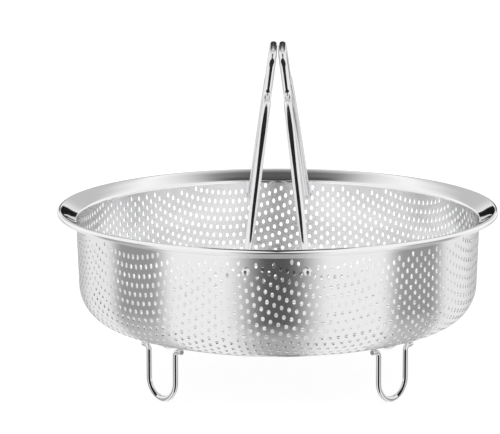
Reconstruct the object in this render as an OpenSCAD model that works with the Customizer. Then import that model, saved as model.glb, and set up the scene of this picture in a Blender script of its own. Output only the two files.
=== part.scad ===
// Steamer insert: a deep-drawn perforated bowl with a plain flared flange and a
// rolled rim, two wire bails that fold out onto the rim, and four wire feet.
// The origin is at floor level under the centre of the bowl, and +Z is up. The
// bails hinge about lines along Y, in the front (-Y) and back (+Y) of the wall.

/* [Bowl] */
// Outside diameter of the rolled rim
rim_d = 220; // [212:1:240]
// Height from the floor to the top of the rim
overall_h = 86; // [82:0.5:100]
// Width of the flange, from the wall's outside at the mouth to the outside of the bead
flange_w = 9.35; // [8.5:0.05:13]
// Depth from the mouth to the lowest point of the base, outside
bowl_depth = 63.4; // [54:0.1:66]
// Thickness of the sheet
sheet_t = 0.5; // [0.4:0.05:0.8]
// Draft of the wall from the vertical, in degrees
wall_draft = 2; // [0:0.25:4]
// Outside radius of the corner between the wall and the base
corner_r = 19.6; // [14:0.2:24]
// Outside radius of the crowned base
crown_r = 301; // [260:1:500]
// Slope of the flange from the horizontal, in degrees
flange_slope = 33; // [24:1:40]
// Outside radius of the fold between the wall and the flange
fold_r = 1.2; // [0.6:0.1:2]
// Diameter of the rolled bead
bead_d = 3.1; // [2.4:0.1:4]
// Part of a turn that the roll of the bead leaves open, in degrees
bead_open = 50; // [30:5:110]

/* [Perforation] */
// Diameter of each hole. The pressed part has holes of 2.1 mm every 4.25 mm; this
// grid has the same proportions and open area, and keeps the solid light
hole_d = 6.9; // [3:0.1:7.4]
// Spacing of the holes in a triangular grid on the flat blank
hole_pitch = 14; // [13:0.5:24]
// Turn of the grid on the blank, in degrees
grid_turn = 15; // [0:1:30]
// Plain band between the mouth and the middle of the outermost holes
plain_band = 5; // [4.6:0.2:12]
// Plain sheet left between a pivot hole and the holes round it
pivot_margin = 1.4; // [0.6:0.2:5]

/* [Bails] */
// Diameter of the bail wire
bail_wire_d = 4; // [3.4:0.1:4.4]
// Distance of each hinge line from the middle of the bowl
hinge_x = 14.7; // [12:0.1:20]
// Depth of the hinge lines below the mouth
hinge_drop = 7; // [5:0.25:12]
// Distance of a bail's top run, folded out flat, from the outside of the rim
bail_rim_gap = 3; // [2:0.1:6]
// Height of the finger hump above the shoulders
hump_h = 20.4; // [18:0.2:22]
// Where its bow ends, in degrees round the bowl from the front
bow_end = 60; // [54:1:62]
// Width across the foot of the finger hump
hump_foot_w = 51; // [44:1:56]
// Width across the top of the finger hump
hump_top_w = 42; // [36:1:46]
// Gap between the wall and a bail folded down beside it
bail_wall_gap = 1.6; // [1:0.1:3]
// Gap between the tops of the two bails where they lean together
bail_meet_gap = 0.5; // [0.4:0.1:3]
// Bend radius of the elbow beside the wall
elbow_r = 3; // [2.6:0.1:3.4]
// Bend radius at the shoulders
shoulder_bend_r = 12; // [8:0.5:14]
// Bend radius at the foot of the hump
hump_foot_bend_r = 5; // [3:0.25:6]
// Bend radius at the top of the hump
hump_top_bend_r = 8; // [5:0.25:10]
// Diameter of the pivot pin, which is the necked end of the wire
pin_d = 2.6; // [2:0.05:2.8]
// Clearance all round the pivot pin in its hole
pin_clearance = 0.08; // [0.03:0.01:0.1]
// Diameter of the pin's domed head outside the wall
head_d = 4.4; // [4:0.1:5.5]
// Height of the pin's domed head
head_h = 1.3; // [0.8:0.1:2]
// Gap between the wall and the neck or head of the pin
pin_side_gap = 0.3; // [0.2:0.05:0.6]

/* [Feet] */
// Diameter of the foot wire
foot_wire_d = 2.7; // [2.2:0.1:3.2]
// Distance of the feet inwards from where the crown turns up into the corner
foot_inset = 6.5; // [6:0.5:16]
// Direction of the feet from the front or the back, in degrees
foot_turn = 45; // [35:1:55]
// Width across the outside of a foot's loop
foot_w = 21.6; // [17:0.2:26]
// Length of the welded tab at each end of the wire
foot_tab = 4.5; // [3.5:0.5:10]
// Bend radius between the loop and a tab
foot_bend_r = 2.4; // [2:0.1:4]
// Gap between the underside and a tab, which the weld fills
weld_gap = 0.1; // [0.05:0.05:0.4]

/* [Hidden] */

steel = [0.8, 0.81, 0.82];
bright_steel = [0.9, 0.9, 0.91];

$fn = 96;
// Overrun of cutting solids past the faces that they cut
cut_over = 1;
// Steps along the arcs of the bowl's outline
crown_steps = 4;
corner_steps = 8;
fold_steps = 3;
bead_steps = 12;
// Sides of the wires, and steps along their bends
bail_sides = 12;
foot_sides = 10;
bow_steps = 12;
bend_steps = 6;

function dir(angle) = [cos(angle), sin(angle)];
function unit(v) = v / norm(v);
function reversed(list) = [for (i = [len(list) - 1:-1:0]) list[i]];
function mirrored(list) = [for (p = list) [-p[0], p[1]]];
function arc(centre, r, from, to, steps) =
    [for (i = [0:steps]) centre + r * dir(from + (to - from) * i / steps)];
// Points along the bend of radius r that rounds the corner b between a and c
function bend(a, b, c, r) =
    let (back = unit(a - b), on = unit(c - b),
         half = acos(back * on) / 2,
         centre = b + unit(back + on) * r / sin(half),
         start = b + back * r / tan(half) - centre,
         turn = (180 - 2 * half) * sign(back[0] * on[1] - back[1] * on[0]))
    [for (i = [0:bend_steps]) let (t = -turn * i / bend_steps)
        centre + [start[0] * cos(t) - start[1] * sin(t),
                  start[0] * sin(t) + start[1] * cos(t)]];

// The bead, and the flange whose upper face is tangent to it
bead_r = bead_d / 2;
bead_at = [rim_d / 2 - bead_r, overall_h - bead_r];
flange_end = bead_at + (bead_r - sheet_t) * dir(90 + flange_slope);
mouth_r = rim_d / 2 - flange_w;
mouth_z = flange_end[1] - (flange_end[0] - mouth_r) * tan(flange_slope);

// The crowned base, and the corner arc that touches both it and the wall:
// corner_end is the angle below the horizontal at which it meets the crown
base_z = mouth_z - bowl_depth;
crown_at = [0, base_z + crown_r];
corner_reach = mouth_r + tan(wall_draft) * (crown_r - bowl_depth);
corner_end = wall_draft
    + acos((cos(wall_draft) * corner_reach - corner_r) / (crown_r - corner_r));
corner_at = crown_at + (crown_r - corner_r) * dir(-corner_end);

// The fold between wall and flange bends round a centre outside the bowl
fold_half = 45 + (flange_slope + wall_draft) / 2;
fold_at = [mouth_r, mouth_z] + fold_r / sin(fold_half) * dir(flange_slope - fold_half);

// Lines of the sheet at a distance in from its outside face: the crown and the
// corner, the fold, and the roll of the bead
function base_line(inset) = concat(
    arc(crown_at, crown_r - inset, -90, -corner_end, crown_steps),
    arc(corner_at, corner_r - inset, -corner_end, -wall_draft, corner_steps));
function fold_line(inset) =
    arc(fold_at, fold_r + inset, 180 - wall_draft, 90 + flange_slope, fold_steps);
function bead_line(inset) =
    arc(bead_at, bead_r - inset, 90 + flange_slope, bead_open + flange_slope - 270,
        bead_steps);

// Drawing the flat blank keeps its area, so each point of the outside line has
// a radius that it had on the blank
drawn_line = concat(base_line(0), [fold_line(0)[0]]);
steepness = concat(
    [for (i = [0:crown_steps]) (90 - corner_end) * i / crown_steps],
    [for (i = [0:corner_steps])
        90 - corner_end + (corner_end - wall_draft) * i / corner_steps],
    [90 - wall_draft]);
drawn_last = len(drawn_line) - 1;
function area_to(i) = i == 0 ? 0 : area_to(i - 1) + PI
    * (drawn_line[i][0] + drawn_line[i - 1][0]) * norm(drawn_line[i] - drawn_line[i - 1]);
blank_r = [for (i = [0:drawn_last]) sqrt(area_to(i) / PI)];
drawn_r = [for (i = [0:drawn_last]) [blank_r[i], drawn_line[i][0]]];
drawn_z = [for (i = [0:drawn_last]) [blank_r[i], drawn_line[i][1]]];
drawn_steepness = [for (i = [0:drawn_last]) [blank_r[i], steepness[i]]];
last_blank_r = lookup(mouth_z - plain_band,
    [for (i = [drawn_last - 1:drawn_last]) [drawn_line[i][1], blank_r[i]]]);

// The hinges: where the wall stands beside a pin, and how far in a bail leans
hinge_z = mouth_z - hinge_drop;
wall_r = mouth_r - hinge_drop * tan(wall_draft);
neck_y = sqrt(pow(wall_r - sheet_t, 2) - pow(hinge_x + bail_wire_d / 2, 2)) - pin_side_gap;
head_y = sqrt(pow(wall_r, 2) - pow(hinge_x - head_d / 2, 2)) + pin_side_gap;
bail_h = rim_d / 2 - hinge_x - bail_rim_gap;
bail_shoulder_h = bail_h - hump_h;
bail_lean = asin((hinge_x - (bail_wire_d + bail_meet_gap) / 2) / bail_h);

// A bail's outline: its bow follows the wall when the bail lies folded out, so
// its centre is then the middle of the bowl
bow_r = wall_r - sheet_t - bail_wall_gap - bail_wire_d / 2;
bow_start = asin((hinge_x + 2 * elbow_r) / bow_r);
bow = [for (p = arc([0, 0], bow_r, bow_start, bow_end, bow_steps)) p - [0, hinge_x]];
elbow = [bow[0][0] + bow[0][1] * tan(bow_start), 0];
bow_top = bow[bow_steps];
shoulder = [bow_top[0] - (bail_shoulder_h - bow_top[1]) * tan(bow_end), bail_shoulder_h];
hump_foot = [hump_foot_w / 2, bail_shoulder_h];
hump_top = [hump_top_w / 2, bail_h];
bail_half = concat(
    [[neck_y, 0]],
    bend([neck_y, 0], elbow, bow[0], elbow_r),
    bow,
    bend(bow_top, shoulder, hump_foot, shoulder_bend_r),
    bend(shoulder, hump_foot, hump_top, hump_foot_bend_r),
    bend(hump_foot, hump_top, [0, bail_h], hump_top_bend_r));
bail_line = concat(bail_half, reversed(mirrored(bail_half)));

// A foot's outline: a loop that stands on the floor, and a tab at each end that
// lies along the crown
foot_circle_r = crown_r * cos(corner_end) - foot_inset;
function under_crown(r) =
    crown_at[1] - sqrt(pow(crown_r + weld_gap + foot_wire_d / 2, 2) - r * r);
function tab_at(x) = [x, under_crown(norm([foot_circle_r, x]))];
loop_r = (foot_w - foot_wire_d) / 2;
tab_end = tab_at(loop_r + foot_tab);
loop_corner = tab_at(loop_r);
loop_bottom = [0, loop_r + foot_wire_d / 2];
foot_tip = concat(
    [tab_end],
    bend(tab_end, loop_corner, [loop_r, loop_bottom[1]], foot_bend_r));
foot_line = concat(
    foot_tip,
    arc(loop_bottom, loop_r, 0, -180, 2 * bend_steps),
    reversed(mirrored(foot_tip)));

// A round wire bent in the XY plane along a line of points
module bent_wire(path, d, sides) {
    last = len(path) - 1;
    along = [for (i = [0:last]) unit(path[min(i + 1, last)] - path[max(i - 1, 0)])];
    skin = [for (i = [0:last], k = [0:sides - 1])
        let (round = d / 2 * dir(360 * k / sides))
        [path[i][0] - round[0] * along[i][1], path[i][1] + round[0] * along[i][0], round[1]]];
    ends = [[for (k = [0:sides - 1]) k], [for (k = [0:sides - 1]) len(skin) - 1 - k]];
    bands = [for (i = [0:last - 1], k = [0:sides - 1])
        let (a = i * sides + k, b = i * sides + (k + 1) % sides)
        each [[a, a + sides, b + sides], [a, b + sides, b]]];
    polyhedron(skin, concat(ends, bands));
}

module bowl_sheet()
    rotate_extrude() polygon(concat(
        base_line(0), fold_line(0), bead_line(sheet_t),
        reversed(bead_line(0)), reversed(fold_line(sheet_t)),
        reversed(base_line(sheet_t))));

// One hole, square to the sheet, at a point of the flat blank
module perforation(x, y) {
    on_blank = norm([x, y]);
    r = lookup(on_blank, drawn_r);
    z = lookup(on_blank, drawn_z);
    turn = atan2(y, x) + grid_turn;
    from_pivot = norm([abs(r * cos(turn)) - hinge_x, z - hinge_z]);
    if (from_pivot > (head_d + hole_d) / 2 + pivot_margin)
        rotate([0, 0, turn]) translate([r, 0, z])
            rotate([0, 180 - lookup(on_blank, drawn_steepness), 0])
            translate([0, 0, -cut_over])
            cylinder(d = hole_d, h = sheet_t + 2 * cut_over);
}

module perforations() {
    row_gap = hole_pitch * sin(60);
    rows = ceil(last_blank_r / row_gap);
    columns = ceil(last_blank_r / hole_pitch);
    for (j = [-rows:rows], i = [-columns:columns]) {
        x = (i + abs(j % 2) / 2) * hole_pitch;
        y = j * row_gap;
        if (norm([x, y]) < last_blank_r) perforation(x, y);
    }
}

module pivot_holes()
    for (side = [-1, 1]) translate([side * hinge_x, 0, hinge_z]) rotate([90, 0, 0])
        cylinder(d = pin_d + 2 * pin_clearance, h = rim_d, center = true);

module bowl() color(steel) difference() {
    bowl_sheet();
    perforations();
    pivot_holes();
}

// The necked end of a bail, along +X from inside its elbow to its domed head
module pivot_pin() {
    dome_r = (pow(head_d / 2, 2) + head_h * head_h) / (2 * head_h);
    translate([elbow[0], 0, 0]) rotate([0, 90, 0])
        cylinder(d = pin_d, h = head_y + head_h / 2 - elbow[0]);
    translate([head_y, 0, 0]) rotate([0, 90, 0]) intersection() {
        translate([0, 0, head_h - dome_r]) sphere(dome_r);
        cylinder(r = dome_r, h = head_h + cut_over);
    }
}

// A bail on the right of the bowl, leaning in to the middle
module bail() color(bright_steel)
    translate([hinge_x, 0, hinge_z]) rotate([0, -bail_lean, 0]) rotate([90, 0, 90]) {
        bent_wire(bail_line, bail_wire_d, bail_sides);
        pivot_pin();
        mirror([1, 0, 0]) pivot_pin();
    }

// A foot turned by an angle from the front
module foot(angle) color(bright_steel)
    rotate([0, 0, angle]) translate([0, -foot_circle_r, 0]) rotate([90, 0, 0])
        bent_wire(foot_line, foot_wire_d, foot_sides);

module bail_right() bail();
module bail_left() rotate([0, 0, 180]) bail();
module foot_front_left() foot(-foot_turn);
module foot_front_right() foot(foot_turn);
module foot_back_left() foot(180 + foot_turn);
module foot_back_right() foot(180 - foot_turn);

bowl();
bail_left();
bail_right();
foot_front_left();
foot_front_right();
foot_back_left();
foot_back_right();
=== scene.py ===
"""Looks of the steamer insert: a perforated bowl, two wire bails and four wire feet.

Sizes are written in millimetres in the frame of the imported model, with the floor
at Z = 0 under the bowl's centre, and each mesh is scaled to metres at the end.
"""

from __future__ import annotations

import bisect
import logging
import math
from collections.abc import Iterable, Sequence
from dataclasses import dataclass, field
from enum import Enum
from functools import cached_property
from operator import attrgetter
from typing import NamedTuple

import bmesh
import bpy
from bmesh.types import BMEdge, BMesh, BMFace, BMLayerItem, BMVert
from bpy.types import Material, Node, Object
from bpy.types import NodeSocket as Socket
from mathutils import Matrix, Vector

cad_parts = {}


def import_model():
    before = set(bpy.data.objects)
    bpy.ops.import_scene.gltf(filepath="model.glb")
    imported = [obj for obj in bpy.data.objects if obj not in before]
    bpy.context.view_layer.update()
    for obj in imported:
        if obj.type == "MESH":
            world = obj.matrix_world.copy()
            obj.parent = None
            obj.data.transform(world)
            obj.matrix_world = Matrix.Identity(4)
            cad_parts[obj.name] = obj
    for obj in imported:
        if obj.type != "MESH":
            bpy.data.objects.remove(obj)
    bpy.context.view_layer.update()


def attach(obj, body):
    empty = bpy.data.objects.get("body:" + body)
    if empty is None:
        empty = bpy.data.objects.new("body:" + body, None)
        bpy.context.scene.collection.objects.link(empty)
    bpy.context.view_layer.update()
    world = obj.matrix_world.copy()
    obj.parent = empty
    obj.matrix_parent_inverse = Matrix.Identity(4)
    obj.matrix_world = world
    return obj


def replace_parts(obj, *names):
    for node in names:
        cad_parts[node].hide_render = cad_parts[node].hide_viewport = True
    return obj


LOG = logging.getLogger("steamer_insert")
IMAGE_WIDTH = 500
IMAGE_HEIGHT = 434
# One millimetre in metres.
MM = 0.001
# Points that lie closer than this, in millimetres, are one point.
SAME = 0.001
# Edges that turn by more than this stay sharp.
SHARP = math.radians(35)

Pairs = Sequence[tuple[float, float]]
Triple = tuple[float, float, float]


class Body(Enum):
    """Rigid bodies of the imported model."""

    BASKET = "basket"
    LEFT_BAIL = "left_bail"
    RIGHT_BAIL = "right_bail"


class Slot(Enum):
    """Material slots of the record."""

    SHEET = "sheet_steel"
    WIRE = "wire_steel"


class Side(Enum):
    """Side of the bowl that a bail stands on, with its turn about +Z."""

    RIGHT = 0.0
    LEFT = math.pi


def by_angle(stops: Pairs) -> Pairs:
    """Turn a ramp's degrees into shares of half a turn."""
    return [(degrees / 180, level) for degrees, level in stops]


def verts_of(geom: Iterable[object]) -> list[BMVert]:
    """Pick the vertices out of what a bmesh operator gives back."""
    return [item for item in geom if isinstance(item, BMVert)]


def polar(turn: float, length: float = 1.0) -> Vector:
    """Point at a turn, in radians, and a distance from the origin."""
    return length * Vector((math.cos(turn), math.sin(turn)))


def spin(bm: BMesh, geom: list, angle: float, steps: int, **settings: object) -> list:
    """Spin edges about an upright axis.

    Args:
        bm: The mesh.
        geom: What is spun.
        angle: Turn about +Z, in radians.
        steps: Number of steps.
        **settings: The operator's cent and use_merge.

    Returns:
        What the last step made.
    """
    made = bmesh.ops.spin(
        bm,
        geom=geom,
        axis=(0, 0, 1),
        dvec=(0, 0, 0),
        angle=angle,
        steps=steps,
        use_normal_flip=False,
        use_duplicate=False,
        **settings,
    )
    return made["geom_last"]


def show(bm: BMesh, name: str, finish: Material) -> Object:
    """Turn a finished bmesh in metres into an object of the scene.

    Args:
        bm: The shape. It is freed.
        name: Name of the object and its mesh.
        finish: Its material.

    Returns:
        The new object, at the origin and unscaled.
    """
    mesh = bpy.data.meshes.new(name)
    bm.to_mesh(mesh)
    bm.free()
    mesh.materials.append(finish)
    shown = bpy.data.objects.new(name, mesh)
    bpy.context.scene.collection.objects.link(shown)
    return shown


def place(bm: BMesh, name: str, finish: Material, body: Body) -> Object:
    """Turn a finished bmesh in millimetres into a piece of the object.

    Args:
        bm: The shape, in millimetres. It is freed.
        name: Name of the piece.
        finish: Its material.
        body: The body that it rides on.

    Returns:
        The new object, at the origin and unscaled.
    """
    bmesh.ops.scale(bm, vec=(MM, MM, MM), verts=bm.verts)
    piece = show(bm, name, finish)
    piece.data.shade_smooth()
    piece.data.set_sharp_from_angle(angle=SHARP)
    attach(piece, body.value)
    piece.data.calc_loop_triangles()
    LOG.info("%s: %d triangles", name, len(piece.data.loop_triangles))
    return piece


class Shader:
    """A node tree of a material or a world, with short calls that add nodes."""

    def __init__(self, owner: Material | bpy.types.World) -> None:
        """Empty the owner's node tree.

        Args:
            owner: The material or world that the nodes are for.
        """
        owner.use_nodes = True
        self.tree = owner.node_tree
        self.tree.nodes.clear()

    def add(
        self, kind: str, inputs: dict[str | int, object] | None = None, **settings: str
    ) -> Node:
        """Add one node.

        Args:
            kind: Its bl_idname.
            inputs: A socket to link or a value to set, by the input's name or number.
            **settings: Properties to set on it.

        Returns:
            The node.
        """
        node = self.tree.nodes.new(kind)
        for key, value in settings.items():
            setattr(node, key, value)
        for key, value in (inputs or {}).items():
            if isinstance(value, Socket):
                self.tree.links.new(value, node.inputs[key])
            else:
                node.inputs[key].default_value = value
        return node

    def maths(self, operation: str, *values: Socket | float) -> Socket:
        """Add a Math node with a socket or a number for each of its inputs."""
        inputs = dict(enumerate(values))
        return self.add("ShaderNodeMath", inputs, operation=operation).outputs[0]

    def ramp(self, value: Socket, stops: Pairs, interpolation: str = "EASE") -> Socket:
        """Add a ramp of greys.

        Args:
            value: Socket that drives it, from 0 to 1.
            stops: Position and grey level of each stop.
            interpolation: The ramp's interpolation.

        Returns:
            Its colour output.
        """
        node = self.add("ShaderNodeValToRGB", {0: value})
        ramp = node.color_ramp
        ramp.interpolation = interpolation
        while len(ramp.elements) < len(stops):
            ramp.elements.new(0.5)
        for element, (position, level) in zip(ramp.elements, stops):
            element.position = position
            element.color = (level, level, level, 1)
        return node.outputs[0]

    def mix(self, factor: Socket, first: Socket, second: Socket | float) -> Socket:
        """Blend two greys: the factor is the share of the second."""
        inputs = {"Factor": factor, "A": first, "B": second}
        return self.add("ShaderNodeMix", inputs, data_type="FLOAT").outputs["Result"]

    def weigh(self, first: Socket, second: Socket, weight: float) -> Socket:
        """Add two values, the first by its weight and the second by the rest of 1."""
        return self.maths(
            "ADD",
            self.maths("MULTIPLY", first, weight),
            self.maths("MULTIPLY", second, 1 - weight),
        )

    def spread(self, value: Socket, low: float, high: float) -> Socket:
        """Map a value of 0 to 1 onto low to high."""
        inputs = {"Value": value, "To Min": low, "To Max": high}
        return self.add("ShaderNodeMapRange", inputs).outputs[0]

    def split(self, vector: Socket) -> list[Socket]:
        """Split a vector into its X, Y and Z."""
        return list(self.add("ShaderNodeSeparateXYZ", {0: vector}).outputs)

    def noise(self, vector: Socket, scale: float, detail: float) -> Socket:
        """Add a noise texture, with its scale and its count of octaves."""
        inputs = {"Vector": vector, "Scale": scale, "Detail": detail}
        return self.add("ShaderNodeTexNoise", inputs).outputs[0]

    def grey(self, kind: str, level: float, **inputs: Socket) -> Socket:
        """Add a shader of one plain grey, and link its other inputs."""
        return self.add(kind, {"Color": (level, level, level, 1), **inputs}).outputs[0]

    def choose(self, factor: Socket, off: Socket, on: Socket) -> Socket:
        """Show one shader where the factor is 0 and another where it is 1."""
        return self.add("ShaderNodeMixShader", {0: factor, 1: off, 2: on}).outputs[0]

    def end(self, shading: Socket, kind: str = "ShaderNodeOutputMaterial") -> None:
        """Join a shader to the tree's output."""
        self.add(kind, {"Surface": shading})


@dataclass(frozen=True)
class Steel:
    """Bright stainless steel, with grain that sets its roughness and its relief.

    Attributes:
        smooth: Its least roughness.
        worn: Its greatest roughness.
        fine: Fineness of the marks.
        coarse: Fineness of the clouds or patches.
        weight: Weight of the marks against the clouds.
        relief: Strength of the relief.
        depth: Depth of the relief, in metres.
    """

    name: str
    colour: Triple
    smooth: float
    worn: float
    fine: float
    coarse: float
    weight: float
    relief: float
    depth: float

    def grain(self, shader: Shader, where: Socket) -> tuple[Socket, Socket]:
        """Lay out the grain.

        Args:
            shader: The material's nodes.
            where: Socket of the object's coordinates.

        Returns:
            Sockets of the roughness and of the relief's height, from 0 to 1.
        """
        raise NotImplementedError

    def build(self) -> Material:
        """Make the material.

        Returns:
            A Principled metal with the grain in its roughness and bump.
        """
        material = bpy.data.materials.new(self.name)
        shader = Shader(material)
        where = shader.add("ShaderNodeTexCoord").outputs["Object"]
        roughness, height = self.grain(shader, where)
        bump = shader.add(
            "ShaderNodeBump",
            {"Strength": self.relief, "Distance": self.depth, "Height": height},
        )
        steel = {
            "Base Color": (*self.colour, 1),
            "Metallic": 1,
            "Roughness": shader.spread(roughness, self.smooth, self.worn),
            "Normal": bump.outputs[0],
        }
        shader.end(shader.add("ShaderNodeBsdfPrincipled", steel).outputs[0])
        return material


@dataclass(frozen=True)
class PolishedSheet(Steel):
    """Drawn sheet: ring marks of the polishing mop round +Z, and dull clouds.

    Attributes:
        along: Metres of noise that a ring mark runs through in a radian.
    """

    name: str = "polished_sheet"
    colour: Triple = (0.95, 0.95, 0.955)
    smooth: float = 0.09
    worn: float = 0.19
    fine: float = 1500
    coarse: float = 26
    weight: float = 0.45
    relief: float = 0.2
    depth: float = 0.00002
    along: float = 0.004

    def grain(self, shader: Shader, where: Socket) -> tuple[Socket, Socket]:
        """Lay out rings and clouds.

        Args:
            shader: The material's nodes.
            where: Socket of the object's coordinates.

        Returns:
            Their blend, twice: it is both the roughness and the relief.
        """
        x, y, z = shader.split(where)
        square = shader.maths(
            "ADD", shader.maths("MULTIPLY", x, x), shader.maths("MULTIPLY", y, y)
        )
        turn = shader.maths("ARCTAN2", y, x)
        along = shader.maths("MULTIPLY", turn, self.along)
        inputs = {0: shader.maths("SQRT", square), 1: along, 2: z}
        rings = shader.add("ShaderNodeCombineXYZ", inputs)
        mop = shader.noise(rings.outputs[0], self.fine, detail=4)
        clouds = shader.noise(where, self.coarse, detail=5)
        blend = shader.weigh(mop, clouds, self.weight)
        return blend, blend


@dataclass(frozen=True)
class BrightWire(Steel):
    """Drawn wire: die lines that run upwards, and patches a little duller.

    Attributes:
        along: Scale of the lines' noise upwards, against sideways.
    """

    name: str = "bright_wire"
    colour: Triple = (0.88, 0.88, 0.89)
    smooth: float = 0.08
    worn: float = 0.2
    fine: float = 2600
    coarse: float = 90
    weight: float = 0.4
    relief: float = 0.3
    depth: float = 0.00001
    along: float = 0.06

    def grain(self, shader: Shader, where: Socket) -> tuple[Socket, Socket]:
        """Lay out lines and patches.

        Args:
            shader: The material's nodes.
            where: Socket of the object's coordinates.

        Returns:
            Their blend as the roughness, and the lines alone as the relief.
        """
        inputs = {"Vector": where, "Scale": (1, 1, self.along)}
        stretch = shader.add("ShaderNodeMapping", inputs)
        lines = shader.noise(stretch.outputs[0], self.fine, detail=3)
        patches = shader.noise(where, self.coarse, detail=4)
        return shader.weigh(lines, patches, self.weight), lines


class Station(NamedTuple):
    """One place on the outside line of the drawn bowl.

    Attributes:
        blank: The radius that it had on the flat blank.
        radius: Its radius on the drawn bowl.
        height: Its height above the floor.
        steepness: Slope of the sheet there from the horizontal, in radians.
    """

    blank: float
    radius: float
    height: float
    steepness: float


@dataclass(frozen=True)
class BowlForm:
    """The bowl as the press draws it: outside sizes, with angles in radians.

    Attributes:
        mouth_d: Diameter of the wall's outside where the flange starts.
        bowl_depth: Height of the mouth above the middle of the base.
        bead_open: Gap in the bead's roll.
        steps: Stations on each of the base, the corner and the wall.
    """

    rim_d: float = 220.0
    overall_h: float = 86.0
    mouth_d: float = 201.3
    bowl_depth: float = 63.4
    sheet_t: float = 0.5
    wall_draft: float = math.radians(2)
    corner_r: float = 19.6
    crown_r: float = 301.0
    flange_slope: float = math.radians(33)
    fold_r: float = 1.2
    bead_d: float = 3.1
    bead_open: float = math.radians(50)
    steps: int = 160

    @cached_property
    def bead_at(self) -> Vector:
        """Middle of the bead's section, as radius and height."""
        r = self.bead_d / 2
        return Vector((self.rim_d / 2 - r, self.overall_h - r))

    @cached_property
    def mouth(self) -> Vector:
        """Where the flange's underside would meet the wall's outside."""
        slope = self.flange_slope
        reach = self.bead_d / 2 - self.sheet_t
        end = self.bead_at + polar(slope + math.pi / 2, reach)
        r = self.mouth_d / 2
        return Vector((r, end.y - (end.x - r) * math.tan(slope)))

    @cached_property
    def crown_at(self) -> Vector:
        """Centre of the crowned base."""
        return Vector((0, self.mouth.y - self.bowl_depth + self.crown_r))

    @cached_property
    def corner_end(self) -> float:
        """Angle below the horizontal at which the corner meets the crown."""
        draft = self.wall_draft
        reach = self.mouth.x + math.tan(draft) * (self.crown_r - self.bowl_depth)
        across = math.cos(draft) * reach - self.corner_r
        return draft + math.acos(across / (self.crown_r - self.corner_r))

    @cached_property
    def corner_at(self) -> Vector:
        """Centre of the corner between the base and the wall."""
        return self.crown_at + polar(-self.corner_end, self.crown_r - self.corner_r)

    @cached_property
    def fold_at(self) -> Vector:
        """Centre of the fold between the wall and the flange."""
        half = math.pi / 4 + (self.flange_slope + self.wall_draft) / 2
        off = self.fold_r / math.sin(half)
        return self.mouth + polar(self.flange_slope - half, off)

    @cached_property
    def wall_top(self) -> Vector:
        """Where the wall ends and the fold starts."""
        return self.fold_at + polar(math.pi - self.wall_draft, self.fold_r)

    @cached_property
    def stations(self) -> list[Station]:
        """Places along the outside line; drawing the sheet keeps its area."""
        line: list[tuple[Vector, float]] = []
        for i in range(self.steps + 1):
            steep = (math.pi / 2 - self.corner_end) * i / self.steps
            out = polar(steep - math.pi / 2, self.crown_r)
            line.append((self.crown_at + out, steep))
        for i in range(1, self.steps + 1):
            turn = (self.wall_draft - self.corner_end) * i / self.steps
            below = self.corner_end + turn
            out = polar(-below, self.corner_r)
            line.append((self.corner_at + out, math.pi / 2 - below))
        foot = line[-1][0]
        for i in range(1, self.steps + 1):
            at = foot.lerp(self.wall_top, i / self.steps)
            line.append((at, math.pi / 2 - self.wall_draft))
        stations: list[Station] = []
        area = 0.0
        before = line[0][0]
        for at, steep in line:
            area += (at.x + before.x) * (at - before).length
            stations.append(Station(math.sqrt(area), at.x, at.y, steep))
            before = at
        return stations

    @cached_property
    def blank_r(self) -> float:
        """Radius of the flat blank out to the top of the wall."""
        return self.stations[-1].blank

    def drawn(self, blank: float) -> Station:
        """Find where a radius of the flat blank comes to lie on the drawn bowl."""
        return self.between("blank", blank)

    def blank_at(self, height: float) -> float:
        """Find the radius on the flat blank of a height on the wall."""
        return self.between("height", height).blank

    def between(self, measure: str, value: float) -> Station:
        """Find the place between two stations where a measure has a value.

        Args:
            measure: Name of the stations' measure, which grows along the line.
            value: The value.

        Returns:
            The place, with every measure in proportion.
        """
        line = self.stations
        i = bisect.bisect_left(line, value, key=attrgetter(measure))
        i = min(max(i, 1), len(line) - 1)
        low, high = getattr(line[i - 1], measure), getattr(line[i], measure)
        part = (value - low) / (high - low)
        return Station(*(a + part * (b - a) for a, b in zip(line[i - 1], line[i])))


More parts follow.
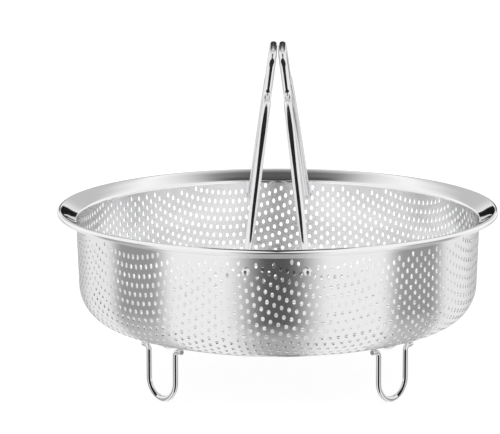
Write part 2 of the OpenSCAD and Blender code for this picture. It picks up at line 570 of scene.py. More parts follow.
@dataclass
class PunchedSheet:
    """The perforated part of the bowl: punched flat, then drawn to its form.

    Attributes:
        hole_d: Diameter of a punched hole on the blank.
        pitch: Spacing of the holes in a triangular grid.
        grid_turn: Turn of the grid about +Z.
        edge: Plain sheet outside the middles of the outermost holes.
        edge_gap: Least plain sheet outside the outermost holes.
        edge_squeeze: Share of the cells' overhang that stays outside that.
        pivot_clear: Distance from a pivot within which no hole is punched.
        plain_step: Longest inner edge of the plain sheet.
        refinings: How often its longer edges are split.
    """

    form: BowlForm
    finish: Material
    hole_d: float = 2.1
    pitch: float = 4.25
    grid_turn: float = math.radians(15)
    hole_sides: int = 8
    edge: float = 1.2
    edge_gap: float = 0.03
    edge_squeeze: float = 0.05
    hinge_x: float = 14.7
    hinge_z: float = 73.64
    pivot_d: float = 2.94
    pivot_sides: int = 20
    pivot_clear: float = 3.3
    rim_steps: int = 288
    plain_step: float = 1.6
    refinings: int = 3

    def pivots(self) -> list[float]:
        """Find where the pivot pins pass through the wall.

        Returns:
            Angles about +Z.
        """
        wall = self.form.drawn(self.form.blank_at(self.hinge_z)).radius
        off = math.asin(self.hinge_x / wall)
        return [side * math.pi / 2 + off * way for side in (-1, 1) for way in (-1, 1)]

    def near_pivot(self, x: float, y: float) -> bool:
        """Find whether a hole would come too near a pivot.

        Args:
            x: Triple of the hole on the blank, before the grid is turned.
            y: The same across.

        Returns:
            True if the hole is left out.
        """
        station = self.form.drawn(math.hypot(x, y))
        turn = math.atan2(y, x) + self.grid_turn
        for pivot in self.pivots():
            off = math.remainder(turn - pivot, 2 * math.pi) * station.radius
            if math.hypot(off, station.height - self.hinge_z) < self.pivot_clear:
                return True
        return False

    def punch(self, bm: BMesh) -> int:
        """Lay out the punched cells of the flat blank and join them.

        Args:
            bm: Empty mesh to build in.

        Returns:
            Number of holes.
        """
        bmesh.ops.create_circle(
            bm, cap_ends=False, radius=self.pitch / math.sqrt(3), segments=6
        )
        bmesh.ops.create_circle(
            bm, cap_ends=False, radius=self.hole_d / 2, segments=self.hole_sides
        )
        bmesh.ops.bridge_loops(bm, edges=list(bm.edges))
        cell = [*bm.verts, *bm.edges, *bm.faces]
        limit = self.form.blank_r - self.edge
        row_gap = self.pitch * math.sin(math.pi / 3)
        longest = 2 * math.ceil(limit / self.pitch) + 1
        strip = [cell]
        for i in range(1, longest):
            copy = bmesh.ops.duplicate(bm, geom=cell)["geom"]
            step = (i * self.pitch, 0, 0)
            bmesh.ops.translate(bm, verts=verts_of(copy), vec=step)
            strip.append(copy)
        holes = 0
        last_row = int(limit / row_gap)
        for j in range(-last_row, last_row + 1):
            y = j * row_gap
            half = math.sqrt(limit * limit - y * y)
            shift = self.pitch / 2 if j % 2 else 0.0
            first = math.ceil((-half - shift) / self.pitch)
            last = math.floor((half - shift) / self.pitch)
            geom = []
            for i in range(first, last + 1):
                if not self.near_pivot(i * self.pitch + shift, y):
                    geom.extend(strip[i - first])
                    holes += 1
            copy = bmesh.ops.duplicate(bm, geom=geom)["geom"]
            step = (first * self.pitch + shift, y, 0)
            bmesh.ops.translate(bm, verts=verts_of(copy), vec=step)
        used = [vert for cells in strip for vert in verts_of(cells)]
        bmesh.ops.delete(bm, geom=used, context="VERTS")
        bmesh.ops.remove_doubles(bm, verts=bm.verts, dist=self.pitch / 100)
        turn = Matrix.Rotation(self.grid_turn, 4, "Z")
        bmesh.ops.rotate(bm, verts=bm.verts, matrix=turn)
        return holes

    def draw_in(self, bm: BMesh) -> None:
        """Pull the ragged outline of the cells inside the edge of the blank.

        Args:
            bm: The punched cells.
        """
        start = self.form.blank_r - self.edge + self.hole_d / 2 + self.edge_gap
        for vert in bm.verts:
            over = vert.co.length - start
            if over > 0:
                vert.co *= (start + self.edge_squeeze * over) / vert.co.length

    def fill_plain(self, bm: BMesh) -> None:
        """Fill the plain sheet round the cells, out to the edge and the pivot holes.

        Args:
            bm: The punched cells, drawn in.
        """
        mark = bm.faces.layers.int.new("plain")
        long_edge = self.hole_d / 2
        outline = [e for e in bm.edges if e.is_boundary and e.calc_length() > long_edge]
        rim = bmesh.ops.create_circle(
            bm, cap_ends=False, radius=self.form.blank_r, segments=self.rim_steps
        )
        rings = [rim]
        blank = self.form.blank_at(self.hinge_z)
        squeeze = self.form.drawn(blank).radius / blank
        for pivot in self.pivots():
            matrix = (
                Matrix.Rotation(pivot, 4, "Z")
                @ Matrix.Translation((blank, 0, 0))
                @ Matrix.Diagonal((squeeze, 1 / squeeze, 1, 1))
            )
            ring = bmesh.ops.create_circle(
                bm,
                cap_ends=False,
                radius=self.pivot_d / 2,
                segments=self.pivot_sides,
                matrix=matrix,
            )
            rings.append(ring)
        edges = set(outline)
        for ring in rings:
            for vert in ring["verts"]:
                edges.update(vert.link_edges)
        filled = bmesh.ops.triangle_fill(
            bm, use_beauty=True, use_dissolve=False, edges=list(edges), normal=(0, 0, 1)
        )
        for face in filled["geom"]:
            if isinstance(face, BMFace):
                face[mark] = 1
        for _ in range(self.refinings):
            self.refine(bm, mark)
        bm.faces.layers.int.remove(mark)

    @staticmethod
    def plain(bm: BMesh, mark: BMLayerItem) -> tuple[list[BMFace], list[BMEdge]]:
        """Find the plain sheet.

        Args:
            bm: The flat sheet.
            mark: Face layer that is 1 on the plain sheet.

        Returns:
            Its faces, and the edges that lie between two of them.
        """
        faces = [face for face in bm.faces if face[mark]]
        own = set(faces)
        edges = {edge for face in faces for edge in face.edges}
        inner = [e for e in edges if not e.is_boundary and set(e.link_faces) <= own]
        return faces, inner

    def refine(self, bm: BMesh, mark: BMLayerItem) -> None:
        """Split the long inner edges of the plain sheet, so that it bends smoothly.

        Args:
            bm: The flat sheet.
            mark: Face layer that is 1 on the plain sheet.
        """
        _, inner = self.plain(bm, mark)
        long = [edge for edge in inner if edge.calc_length() > self.plain_step]
        bmesh.ops.subdivide_edges(bm, edges=long, cuts=1)
        faces, _ = self.plain(bm, mark)
        bmesh.ops.triangulate(bm, faces=faces)
        faces, inner = self.plain(bm, mark)
        bmesh.ops.beautify_fill(bm, faces=faces, edges=inner)

    def press(self, bm: BMesh) -> None:
        """Draw the flat sheet to the form, each point by its radius on the blank.

        Args:
            bm: The flat sheet, given its thickness.
        """
        for vert in bm.verts:
            flat = Vector((vert.co.x, vert.co.y))
            station = self.form.drawn(flat.length)
            inward = polar(station.steepness + math.pi / 2, abs(vert.co.z))
            drawn = Vector((station.radius, station.height)) + inward
            flat = flat.normalized() * drawn.x
            vert.co = Vector((flat.x, flat.y, drawn.y))

    def build(self) -> Object:
        """Make the punched and drawn sheet.

        Returns:
            The piece.
        """
        bm = bmesh.new()
        holes = self.punch(bm)
        self.draw_in(bm)
        self.fill_plain(bm)
        bmesh.ops.recalc_face_normals(bm, faces=bm.faces)
        bmesh.ops.solidify(bm, geom=list(bm.faces), thickness=self.form.sheet_t)
        self.press(bm)
        bmesh.ops.recalc_face_normals(bm, faces=bm.faces)
        LOG.info("punched sheet: %d holes", holes)
        return place(bm, "punched_sheet", self.finish, Body.BASKET)


@dataclass
class RolledRim:
    """The fold, the plain flared flange and the rolled bead, spun from one section."""

    form: BowlForm
    finish: Material
    rim_steps: int = 288
    roll_steps: int = 22
    fold_steps: int = 5
    flange_steps: int = 3

    def line(self, inset: float) -> list[Vector]:
        """Points of the sheet's section at a distance in from its outside face.

        Args:
            inset: Distance in from the outside of the wall.

        Returns:
            Points as radius and height, from the wall up to the end of the roll.
        """
        form = self.form
        points = []
        start, end = math.pi - form.wall_draft, math.pi / 2 + form.flange_slope
        for i in range(self.fold_steps + 1):
            turn = start + (end - start) * i / self.fold_steps
            points.append(form.fold_at + polar(turn, form.fold_r + inset))
        start = math.pi / 2 + form.flange_slope
        end = form.bead_open + form.flange_slope - 1.5 * math.pi
        roll_r = form.bead_d / 2 - form.sheet_t + inset
        roll = []
        for i in range(self.roll_steps + 1):
            turn = start + (end - start) * i / self.roll_steps
            roll.append(form.bead_at + polar(turn, roll_r))
        foot = points[-1]
        for i in range(1, self.flange_steps):
            points.append(foot.lerp(roll[0], i / self.flange_steps))
        return points + roll

    def build(self) -> Object:
        """Spin the section round the bowl's axis.

        Returns:
            The piece.
        """
        bm = bmesh.new()
        section = self.line(0) + self.line(self.form.sheet_t)[::-1]
        verts = [bm.verts.new((point.x, 0, point.y)) for point in section]
        edges = [bm.edges.new(pair) for pair in zip(verts, verts[1:] + verts[:1])]
        spin(bm, verts + edges, 2 * math.pi, self.rim_steps, use_merge=True)
        bmesh.ops.remove_doubles(bm, verts=bm.verts, dist=SAME)
        bmesh.ops.recalc_face_normals(bm, faces=bm.faces)
        return place(bm, "rolled_rim", self.finish, Body.BASKET)


@dataclass
class BentWire:
    """A round wire in the XY plane, drawn on by straights and bends like a real one.

    Attributes:
        bm: Mesh that it is drawn in.
        corners: Corner points of its middle line.
        radii: Bend radius at each inner corner.
        sides: Sides of its section.
        bend_step: Largest turn of one step of a bend.
        ring: Vertices of the open end that is drawn on.
    """

    bm: BMesh
    corners: Pairs
    radii: Sequence[float]
    wire_d: float
    sides: int = 24
    bend_step: float = math.radians(9)
    ring: list[BMVert] = field(default_factory=list)

    def start_ring(self) -> list[BMVert]:
        """Set a ring across the start of the line.

        Returns:
            Its vertices.
        """
        at = Vector((*self.corners[0], 0))
        heading = Vector((*self.corners[1], 0)) - at
        turn = heading.to_track_quat("Z", "Y").to_matrix().to_4x4()
        ring = bmesh.ops.create_circle(
            self.bm,
            cap_ends=False,
            radius=self.wire_d / 2,
            segments=self.sides,
            matrix=Matrix.Translation(at) @ turn,
        )
        return ring["verts"]

    def ring_edges(self) -> list[BMEdge]:
        """Find the edges of the ring at the open end.

        Returns:
            The edges.
        """
        own = set(self.ring)
        return list({e for v in self.ring for e in v.link_edges if set(e.verts) <= own})

    def straight(self, step: Vector) -> None:
        """Draw the wire on by a straight.

        Args:
            step: How far, and in which direction.
        """
        made = bmesh.ops.extrude_edge_only(self.bm, edges=self.ring_edges())
        self.ring = verts_of(made["geom"])
        bmesh.ops.translate(self.bm, verts=self.ring, vec=step)

    def bend(self, centre: Vector, angle: float) -> None:
        """Draw the wire on by a bend about a centre.

        Args:
            centre: Centre of the bend.
            angle: Turn about +Z, in radians.
        """
        steps = max(2, math.ceil(abs(angle) / self.bend_step))
        geom = self.ring + self.ring_edges()
        self.ring = verts_of(spin(self.bm, geom, angle, steps, cent=centre))

    def collar(self, stations: Pairs, way: Vector) -> None:
        """Carry the end on through rings of other diameters, and close it.

        Args:
            stations: For each ring, how far on it lies and its diameter.
            way: Direction of the wire at its end.
        """
        for on, diameter in stations:
            middle = sum((v.co for v in self.ring), Vector()) / len(self.ring)
            now = (self.ring[0].co - middle).length
            self.straight(way * on)
            scale = diameter / 2 / now
            shift = Matrix.Translation(-(middle + way * on))
            bmesh.ops.scale(
                self.bm, verts=self.ring, vec=(scale, scale, scale), space=shift
            )
        bmesh.ops.contextual_create(self.bm, geom=self.ring + self.ring_edges())

    def run(self) -> Vector:
        """Draw the whole line.

        Returns:
            Direction of the wire at its end.
        """
        self.ring = self.start_ring()
        at = Vector((*self.corners[0], 0))
        points = [Vector((*corner, 0)) for corner in self.corners]
        for here, after, radius in zip(points[1:], points[2:], self.radii):
            way = (here - at).normalized()
            on = (after - here).normalized()
            angle = way.to_2d().angle_signed(on.to_2d())
            reach = radius * math.tan(abs(angle) / 2)
            length = (here - at).length - reach
            if length > SAME:
                self.straight(way * length)
            at = here - way * reach
            # A clockwise turn is positive here, so its centre lies to the right.
            side = Vector((way.y, -way.x, 0)) * math.copysign(radius, angle)
            self.bend(at + side, -angle)
            at = here + on * reach
        self.straight(points[-1] - at)
        return (points[-1] - at).normalized()

    def build(self, stations: Pairs) -> None:
        """Draw the whole wire and finish both its ends alike.

        Args:
            stations: Rings of an end, by how far on each lies and its diameter.
        """
        way = self.run()
        self.collar(stations, way)
        # Now the start is the only open end.
        self.ring = [v for v in self.bm.verts if v.is_boundary or v.is_wire]
        back = Vector((*self.corners[0], 0)) - Vector((*self.corners[1], 0))
        self.collar(stations, back.normalized())


@dataclass
class Bail:
    """A wire bail: pivot heads, elbows, a bow as round as the bowl, and a finger hump.

    Attributes:
        form: The bowl's form, which gives the wall beside the pivots.
        hinge_drop: Height of the mouth above the hinge line.
        height: Distance of the hump's top from the hinge line.
        shoulder_h: Distance of the shoulders from the hinge line.
        bow_end: Angle from the pivots up to which the bow is round.
        wall_gap: Gap between the bow and the wall when the bail is folded.
        meet_gap: Gap between the two bails at the top.
        neck_step: Length of the step from the wire down to the pin.
        neck_chamfer: Loss of diameter at the edge of that step.
        head_edge: Loss of diameter at the head's back edge.
        pin_gap: Gap between the wall and the neck's step, and the head.
    """

    form: BowlForm
    finish: Material
    side: Side
    wire_d: float = 4.0
    hinge_x: float = 14.7
    hinge_drop: float = 7.0
    height: float = 92.3
    shoulder_h: float = 71.9
    bow_end: float = math.radians(60)
    hump_foot_w: float = 51.0
    hump_top_w: float = 42.0
    wall_gap: float = 1.6
    meet_gap: float = 0.5
    elbow_r: float = 3.0
    shoulder_bend_r: float = 12.0
    hump_foot_bend_r: float = 5.0
    hump_top_bend_r: float = 8.0
    pin_d: float = 2.6
    neck_step: float = 0.05
    neck_chamfer: float = 0.2
    head_d: float = 4.4
    head_h: float = 1.3
    head_edge: float = 0.25
    dome_steps: int = 7
    pin_gap: float = 0.3

    @property
    def wall_r(self) -> float:
        """Outside radius of the wall at the pivots."""
        return self.form.mouth.x - self.hinge_drop * math.tan(self.form.wall_draft)

    @property
    def hinge_z(self) -> float:
        """Height of the hinge line."""
        return self.form.mouth.y - self.hinge_drop

    @property
    def lean(self) -> float:
        """How far the bail leans in to the middle."""
        reach = self.hinge_x - (self.wire_d + self.meet_gap) / 2
        return math.asin(reach / self.height)

    @property
    def neck(self) -> float:
        """Distance of the wire's shoulder, inside the wall, from the middle."""
        inside = self.wall_r - self.form.sheet_t
        across = self.hinge_x + self.wire_d / 2
        return math.sqrt(inside**2 - across**2) - self.pin_gap

    @property
    def head(self) -> float:
        """Distance of the back of the head, outside the wall, from the middle."""
        across = self.hinge_x - self.head_d / 2
        return math.sqrt(self.wall_r**2 - across**2) + self.pin_gap

    def middle_line(self) -> tuple[list[tuple[float, float]], list[float]]:
        """Lay out the middle line from the front pivot to the back one.

        Returns:
            Its corner points, and the bend radius at each inner one.
        """
        bow_r = self.wall_r - self.form.sheet_t - self.wall_gap - self.wire_d / 2
        start = math.asin((self.hinge_x + 2 * self.elbow_r) / bow_r)
        half = (self.bow_end - start) / 2
        far = bow_r / math.cos(half)
        bow = polar(start + half, far) - Vector((0, self.hinge_x))
        first = polar(start, bow_r) - Vector((0, self.hinge_x))
        elbow = (first.x + first.y * math.tan(start), 0.0)
        slope = math.tan(self.bow_end)
        shoulder = (bow.x - (self.shoulder_h - bow.y) * slope, self.shoulder_h)
        corners = [
            (self.neck, 0.0),
            elbow,
            tuple(bow),
            shoulder,
            (self.hump_foot_w / 2, self.shoulder_h),
            (self.hump_top_w / 2, self.height),
        ]
        radii = [
            self.elbow_r,
            bow_r,
            self.shoulder_bend_r,
            self.hump_foot_bend_r,
            self.hump_top_bend_r,
        ]
        back = [(-x, y) for x, y in reversed(corners)]
        return corners + back, radii + radii[::-1]

    def upset_end(self) -> list[tuple[float, float]]:
        """Lay out the rings of the necked pin and its domed head.

        Returns:
            For each ring, how far on it lies and its diameter.
        """
        edge = self.head_edge
        rings = [
            (0.0, self.wire_d - self.neck_chamfer),
            (self.neck_step, self.pin_d),
            (self.head - self.neck - self.neck_step, self.pin_d),
            (0.0, self.head_d - edge),
            (edge / 2, self.head_d),
        ]
        dome = self.head_h - edge / 2
        before = 0.0
        for i in range(1, self.dome_steps):
            turn = math.pi / 2 * i / self.dome_steps
            rise = dome * math.sin(turn)
            rings.append((rise - before, self.head_d * math.cos(turn)))
            before = rise
        return rings

    def build(self) -> Object:
        """Bend the wire, upset its ends and lean it in.

        Returns:
            The piece.
        """
        bm = bmesh.new()
        corners, radii = self.middle_line()
        BentWire(bm, corners, radii, self.wire_d).build(self.upset_end())
        bmesh.ops.remove_doubles(bm, verts=bm.verts, dist=SAME)
        bmesh.ops.recalc_face_normals(bm, faces=bm.faces)
        stand = Matrix(((0, 0, 1, 0), (1, 0, 0, 0), (0, 1, 0, 0), (0, 0, 0, 1)))
        matrix = (
            Matrix.Rotation(self.side.value, 4, "Z")
            @ Matrix.Translation((self.hinge_x, 0, self.hinge_z))
            @ Matrix.Rotation(-self.lean, 4, "Y")
            @ stand
        )
        bmesh.ops.transform(bm, matrix=matrix, verts=bm.verts)
        right = self.side is Side.RIGHT
        name = "bail_wire_right" if right else "bail_wire_left"
        body = Body.RIGHT_BAIL if right else Body.LEFT_BAIL
        piece = place(bm, name, self.finish, body)
        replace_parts(piece, "bail_right" if right else "bail_left")
        return piece


@dataclass
class Foot:
    """A wire foot: a loop that stands on the floor, and two tabs welded under the bowl.

    Attributes:
        form: The bowl's form, whose crown the tabs follow.
        node: The node that it stands for.
        turn: Its direction from the front, about +Z.
        circle_r: Distance of the foot from the bowl's axis.
        tab: Length of a tab beside the loop's leg.
        blunt: Rings of a cut end, by how far on each lies and its loss of diameter.
    """

    form: BowlForm
    finish: Material
    node: str
    turn: float
    wire_d: float = 2.7
    circle_r: float = 78.99
    width: float = 21.6
    tab: float = 4.5
    bend_r: float = 2.4
    weld_gap: float = 0.1
    wire_sides: int = 20
    blunt: Pairs = ((0.1, 0.1), (0.15, 0.5))

    def tab_at(self, x: float) -> tuple[float, float]:
        """Find the middle of the wire where it lies under the crown.

        Args:
            x: Distance sideways from the foot's middle.

        Returns:
            That distance, and the height above the floor.
        """
        reach = self.form.crown_r + self.weld_gap + self.wire_d / 2
        flat = math.hypot(self.circle_r, x)
        return x, self.form.crown_at.y - math.sqrt(reach * reach - flat * flat)

    def build(self) -> Object:
        """Bend the loop and stand it under the bowl.

        Returns:
            The piece.
        """
        bm = bmesh.new()
        loop_r = (self.width - self.wire_d) / 2
        floor = self.wire_d / 2
        half = [self.tab_at(loop_r + self.tab), self.tab_at(loop_r), (loop_r, floor)]
        corners = half + [(-x, y) for x, y in reversed(half)]
        radii = [self.bend_r, loop_r - SAME, loop_r - SAME, self.bend_r]
        blunt = [(step, self.wire_d - loss) for step, loss in self.blunt]
        BentWire(bm, corners, radii, self.wire_d, self.wire_sides).build(blunt)
        bmesh.ops.recalc_face_normals(bm, faces=bm.faces)
        matrix = (
            Matrix.Rotation(self.turn, 4, "Z")
            @ Matrix.Translation((0, -self.circle_r, 0))
            @ Matrix.Rotation(math.pi / 2, 4, "X")
        )
        bmesh.ops.transform(bm, matrix=matrix, verts=bm.verts)
        name = f"{self.node}_wire"
        piece = place(bm, name, self.finish, Body.BASKET)
        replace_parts(piece, self.node)
        return piece


@dataclass(frozen=True)
class ReflectionCard:
    """A dark card beside the metal, which paints a dark reflection into the steel.
    Camera and lamps don't see it.

    Attributes:
        size: Its width, and its height or depth, in metres.
        at: Its middle.
        flat: Whether it lies flat instead of standing across the view.
        taper: Width of its low or near edge as a share of the other one.
    """

    name: str
    size: tuple[float, float]
    at: Triple
    flat: bool = False
    taper: float = 1.0

    def hang(self, dark_reflection: Material) -> None:
        """Cut the card and hang it.

        Args:
            dark_reflection: Its material, which paints a dark reflection into the
                steel.
        """
        bm = bmesh.new()
        bmesh.ops.create_grid(bm, x_segments=1, y_segments=1, size=0.5)
        near = [v for v in bm.verts if v.co.y < 0]
        bmesh.ops.scale(bm, vec=(self.taper, 1, 1), verts=near)
        bmesh.ops.scale(bm, vec=(*self.size, 1), verts=bm.verts)
        if not self.flat:
            turn = Matrix.Rotation(math.pi / 2, 3, "X")
            bmesh.ops.rotate(bm, matrix=turn, verts=bm.verts)
        bmesh.ops.translate(bm, vec=self.at, verts=bm.verts)
        card = show(bm, self.name, dark_reflection)
        # Only the metal's reflections see the card: it paints a dark reflection, casts
        # no shadow and does not show to the camera.
        card.visible_camera = False
        card.visible_diffuse = False
        card.visible_transmission = False
        card.visible_shadow = False


@dataclass(frozen=True)
class ReflectionCards:
    """The dark cards, which only the metal's reflections see: painted dark reflections
    in the steel.

    They are dark on the side that faces the object, and clear on the other. A
    reflection seen in another reflection leaves them out.

    Attributes:
        grey: Grey level of the painted dark reflection.
        bounces: Below this count of bounces a ray still sees the painted dark
            reflection.
        pieces: The cards.
    """

    grey: float = 0.012
    bounces: float = 1.5
    pieces: tuple[ReflectionCard, ...] = (
        # Painted dark reflections: these two cards darken the reflections in the bails
        # and the rim.
        ReflectionCard("painted_reflection_before_bails", (0.12, 0.1), (0.0, -0.104, 0.14), taper=0.16),
        ReflectionCard("painted_reflection_over_bails", (0.12, 0.076), (0.0, -0.066, 0.19), flat=True),
        # Painted dark reflections: each strip stands just before a leg of a front foot
        # and paints a dark stripe down that leg's reflection.
        ReflectionCard("painted_reflection_strip_outer_left", (0.0068, 0.026), (-0.0626, -0.0547, 0.011)),
        ReflectionCard("painted_reflection_strip_inner_left", (0.0068, 0.026), (-0.0492, -0.0681, 0.011)),
        ReflectionCard("painted_reflection_strip_inner_right", (0.0068, 0.026), (0.0492, -0.0681, 0.011)),
        ReflectionCard("painted_reflection_strip_outer_right", (0.0068, 0.026), (0.0626, -0.0547, 0.011)),
    )

    def build(self) -> None:
        """Make the material of the painted dark reflections and hang every card."""
        material = bpy.data.materials.new("painted_dark_reflection")
        shader = Shader(material)
        face = shader.add("ShaderNodeNewGeometry")
        path = shader.add("ShaderNodeLightPath")
        first = shader.maths("LESS_THAN", path.outputs["Ray Depth"], self.bounces)
        dark = shader.maths("MULTIPLY", face.outputs["Backfacing"], first)
        clear = shader.add("ShaderNodeBsdfTransparent").outputs[0]
        # Near-black emission, which the steel shows as a painted dark reflection.
        dark_reflection = shader.grey("ShaderNodeEmission", self.grey)
        shader.end(shader.choose(dark, clear, dark_reflection))
        for card in self.pieces:
            card.hang(material)


@dataclass(frozen=True)
class Look:
    """The world's nodes, and the direction in which the metal looks."""

    shader: Shader
    x: Socket
    y: Socket
    z: Socket


@dataclass(frozen=True)
class Tent:
    """A white light tent with dark openings round the object.

    The camera and diffuse light see plain white. Metal sees the tent, by the
    direction in which it looks: X to the right, Y to the back, Z up.

    Attributes:
        reach: Distance from the middle at which the sideways angles are taken.
        opening: The dark opening at the front, by degrees to the side.
        seams: The walls and their darker seams, by degrees to the side.
        rise: Where the seams fade out upwards, by Z + 0.5.
        roof: The strip from the back over the roof, by degrees up from the back.
        roof_lean: How much wider the strip gets to the back.
        roof_front: Y at which it starts to get narrower to the front.
        roof_edge: Its edge, by X.
        beside_roof: Grey level beside it.
        eaves: Where the walls go over into the roof, by Z.
        below: Where the walls go over into the table, by -Z.
        table: Share of the walls in the table, and the level added to it.
        wedge_at: Z of the middle of the dark wedge behind the table.
        wedge_lean: How much wider the wedge gets upwards.
        wedge_height: Its upper and lower edges, by distance from its middle.
        wedge_width: Its side edges, by X.
    """

    light: float = 0.98
    reach: float = 0.98
    opening: Pairs = ((2.5, 0.06), (15.5, 1.0))
    seams: Pairs = ((30, 0.9), (38, 0.3), (49, 0.3), (57, 0.85), (66, 0.85), (76, 0.62))
    rise: Pairs = ((0.36, 0.0), (0.5, 0.85))
    roof: Pairs = (
        *((0, 0.58), (28, 0.55), (41, 0.56), (49, 0.72), (55, 1.0)),
        *((58, 0.98), (66, 0.62), (72, 0.26), (76, 0.1), (92, 0.03)),
    )
    roof_lean: float = 0.3
    roof_front: float = -0.2
    roof_edge: Pairs = ((0.1, 0.0), (0.3, 1.0))
    beside_roof: float = 0.95
    eaves: Pairs = ((0.12, 0.0), (0.34, 1.0))
    below: Pairs = ((0.25, 0.0), (0.36, 0.3), (0.62, 0.55), (0.88, 0.85))
    table: tuple[float, float] = (0.5, 0.45)
    wedge_at: float = 0.01
    wedge_lean: float = 0.7
    wedge_height: Pairs = ((0.165, 1.0), (0.18, 0.0))
    wedge_width: Pairs = ((0.12, 1.0), (0.15, 0.0))
    wedge_grey: float = 0.01

    def walls(self, look: Look) -> Socket:
        """Shade the walls, with the opening at the front and the seams.

        Args:
            look: The world's nodes and the direction.

        Returns:
            Socket of their grey.
        """
        shader = look.shader
        forward = shader.maths("SUBTRACT", self.reach, look.y)
        turn = shader.maths("ABSOLUTE", shader.maths("ARCTAN2", look.x, forward))
        around = shader.maths("DIVIDE", turn, math.pi)
        opening = shader.ramp(around, by_angle(self.opening))
        seams = shader.ramp(around, by_angle(self.seams))
        rise = shader.ramp(shader.maths("ADD", look.z, 0.5), self.rise)
        return shader.maths("MULTIPLY", opening, shader.mix(rise, seams, 1.0))

    def ceiling(self, look: Look) -> Socket:
        """Shade the roof: a dark strip from the back to the front, pale beside it.

        Args:
            look: The world's nodes and the direction.

        Returns:
            Socket of its grey.
        """
        shader = look.shader
        up = shader.maths("ARCTAN2", look.z, look.y)
        tilt = shader.maths("DIVIDE", up, math.pi)
        strip = shader.ramp(tilt, by_angle(self.roof), "LINEAR")
        behind = shader.maths("MAXIMUM", look.y, 0.0)
        ahead = shader.maths("SUBTRACT", self.roof_front, look.y)
        ahead = shader.maths("MAXIMUM", ahead, 0.0)
        way = shader.maths("SUBTRACT", ahead, behind)
        slant = shader.maths("MULTIPLY", way, self.roof_lean)
        off = shader.maths("ADD", shader.maths("ABSOLUTE", look.x), slant)
        return shader.mix(shader.ramp(off, self.roof_edge), strip, self.beside_roof)

    def wedge(self, look: Look) -> Socket:
        """Find the dark wedge behind the table, which the rim's ends reflect.

        Args:
            look: The world's nodes and the direction.

        Returns:
            Socket that is 1 in the wedge and 0 outside it.
        """
        shader = look.shader
        rise = shader.maths("SUBTRACT", look.z, self.wedge_at)
        level = shader.maths("ABSOLUTE", rise)
        lean = shader.maths("MULTIPLY", look.z, self.wedge_lean)
        off = shader.maths("SUBTRACT", shader.maths("ABSOLUTE", look.x), lean)
        high = shader.ramp(level, self.wedge_height)
        wide = shader.ramp(off, self.wedge_width)
        behind = shader.maths("GREATER_THAN", look.y, 0.0)
        return shader.maths("MULTIPLY", high, shader.maths("MULTIPLY", wide, behind))

    def build(self) -> None:
        """Put the tent round the scene as its world."""
        world = bpy.data.worlds.new("light_tent")
        bpy.context.scene.world = world
        shader = Shader(world)
        where = shader.add("ShaderNodeTexCoord").outputs["Generated"]
        look = Look(shader, *shader.split(where))
        walls = self.walls(look)
        eaves = shader.ramp(shader.maths("MAXIMUM", look.z, 0.0), self.eaves)
        upper = shader.mix(eaves, walls, self.ceiling(look))
        depth = shader.maths("MAXIMUM", shader.maths("MULTIPLY", look.z, -1.0), 0.0)
        below = shader.ramp(depth, self.below, "LINEAR")
        share, level = self.table
        table = shader.maths("ADD", shader.maths("MULTIPLY", walls, share), level)
        whole = shader.mix(below, upper, table)
        whole = shader.mix(self.wedge(look), whole, self.wedge_grey)
        plain = shader.grey("ShaderNodeBackground", 1.0)
        metal = {"Color": whole, "Strength": self.light}
        seen = shader.add("ShaderNodeBackground", metal).outputs[0]
        path = shader.add("ShaderNodeLightPath")
        shown = shader.choose(path.outputs["Is Glossy Ray"], plain, seen)
        shader.end(shown, "ShaderNodeOutputWorld")


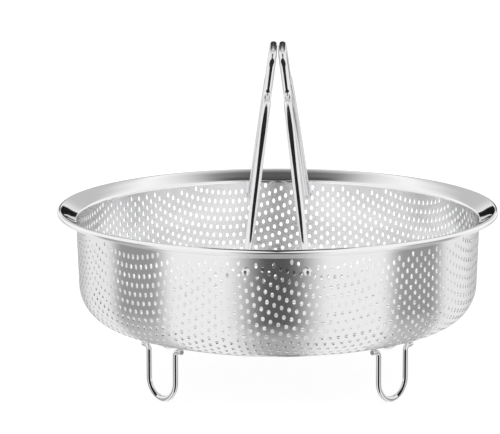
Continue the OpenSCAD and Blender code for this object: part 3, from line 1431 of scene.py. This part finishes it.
@dataclass(frozen=True)
class Studio:
    """Pale floor, soft light and the camera at the photograph's angle.

    Attributes:
        focal_px: Focal length in pixels of the photograph.
        centre_px: Pixel that the camera's axis meets, from the left and the top.
        sensor_w: Width of the sensor, in millimetres.
        floor_glow: Grey level that the camera sees besides the lit paper.
    """

    camera_at: Triple = (0.0101, -1.5656, 0.3826)
    aim: Triple = (0.0, 0.0, 0.08445)
    focal_px: float = 3190.5
    centre_px: tuple[float, float] = (277.82, 209.46)
    sensor_w: float = 36.0
    clip: tuple[float, float] = (0.01, 50.0)
    floor_size: float = 12.0
    floor_grey: float = 0.3
    floor_glow: float = 0.8
    lamp_at: Triple = (-0.3, -0.2, 1.8)
    lamp_aim: Triple = (0.0, 0.0, 0.05)
    lamp_d: float = 1.6
    lamp_power: float = 12.0

    @staticmethod
    def set_up(
        thing: bpy.types.Camera | bpy.types.Light, at: Triple, aim: Triple
    ) -> Object:
        """Put a camera or a lamp in the scene and point it.

        Args:
            thing: The camera or lamp.
            at: Its place.
            aim: The point that it looks at.

        Returns:
            Its object.
        """
        stand = bpy.data.objects.new(thing.name, thing)
        stand.location = at
        look = Vector(aim) - Vector(at)
        stand.rotation_euler = look.to_track_quat("-Z", "Y").to_euler()
        bpy.context.scene.collection.objects.link(stand)
        return stand

    def camera(self) -> None:
        """Set the camera that sees the object as the photograph does."""
        data = bpy.data.cameras.new("studio_camera")
        data.sensor_width = self.sensor_w
        data.lens = self.focal_px * self.sensor_w / IMAGE_WIDTH
        data.shift_x = (IMAGE_WIDTH / 2 - self.centre_px[0]) / IMAGE_WIDTH
        data.shift_y = (self.centre_px[1] - IMAGE_HEIGHT / 2) / IMAGE_WIDTH
        data.clip_start, data.clip_end = self.clip
        bpy.context.scene.camera = self.set_up(data, self.camera_at, self.aim)

    def floor(self) -> None:
        """Lay a pale floor that keeps the object's shadow."""
        material = bpy.data.materials.new("floor_paper")
        shader = Shader(material)
        path = shader.add("ShaderNodeLightPath").outputs
        seen = path["Is Camera Ray"]
        for kind in ("Is Glossy Ray", "Is Transmission Ray"):
            seen = shader.maths("MAXIMUM", seen, path[kind])
        paper = shader.grey("ShaderNodeBsdfDiffuse", self.floor_grey)
        glow = shader.grey("ShaderNodeEmission", self.floor_glow, Strength=seen)
        both = shader.add("ShaderNodeAddShader", {0: paper, 1: glow})
        shader.end(both.outputs[0])
        bm = bmesh.new()
        bmesh.ops.create_grid(bm, x_segments=1, y_segments=1, size=self.floor_size / 2)
        floor = show(bm, "studio_floor", material)
        floor.visible_glossy = False

    def lamp(self) -> None:
        """Hang one wide soft lamp over the object."""
        data = bpy.data.lights.new("overhead_softbox", "AREA")
        data.shape = "DISK"
        data.size = self.lamp_d
        data.energy = self.lamp_power
        lamp = self.set_up(data, self.lamp_at, self.lamp_aim)
        lamp.visible_glossy = False

    def build(self) -> None:
        """Set up the whole studio."""
        self.camera()
        self.floor()
        self.lamp()
        ReflectionCards().build()
        Tent().build()
        bpy.context.scene.view_settings.view_transform = "Standard"


def main() -> None:
    """Load the frame, build every piece in order and report each one."""
    logging.basicConfig(level=logging.INFO, format="%(name)s: %(message)s")
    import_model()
    form = BowlForm()
    sheet = PolishedSheet().build()
    wire = BrightWire().build()
    thin_wire = BrightWire("thin_bright_wire", smooth=0.03, worn=0.08).build()
    bails = [Bail(form, wire, side) for side in Side]
    bowl = PunchedSheet(form, sheet, hinge_z=bails[0].hinge_z).build()
    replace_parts(bowl, "bowl")
    rim = PolishedSheet("polished_rim", smooth=0.03, worn=0.08).build()
    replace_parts(RolledRim(form, rim).build(), "bowl")
    for bail in bails:
        bail.build()
    eighth = math.pi / 4
    for node, turn in (
        ("foot_front_left", -eighth),
        ("foot_front_right", eighth),
        ("foot_back_left", math.pi + eighth),
        ("foot_back_right", math.pi - eighth),
    ):
        Foot(form, thin_wire, node, turn).build()
    Studio().build()


if __name__ == "__main__":
    main()
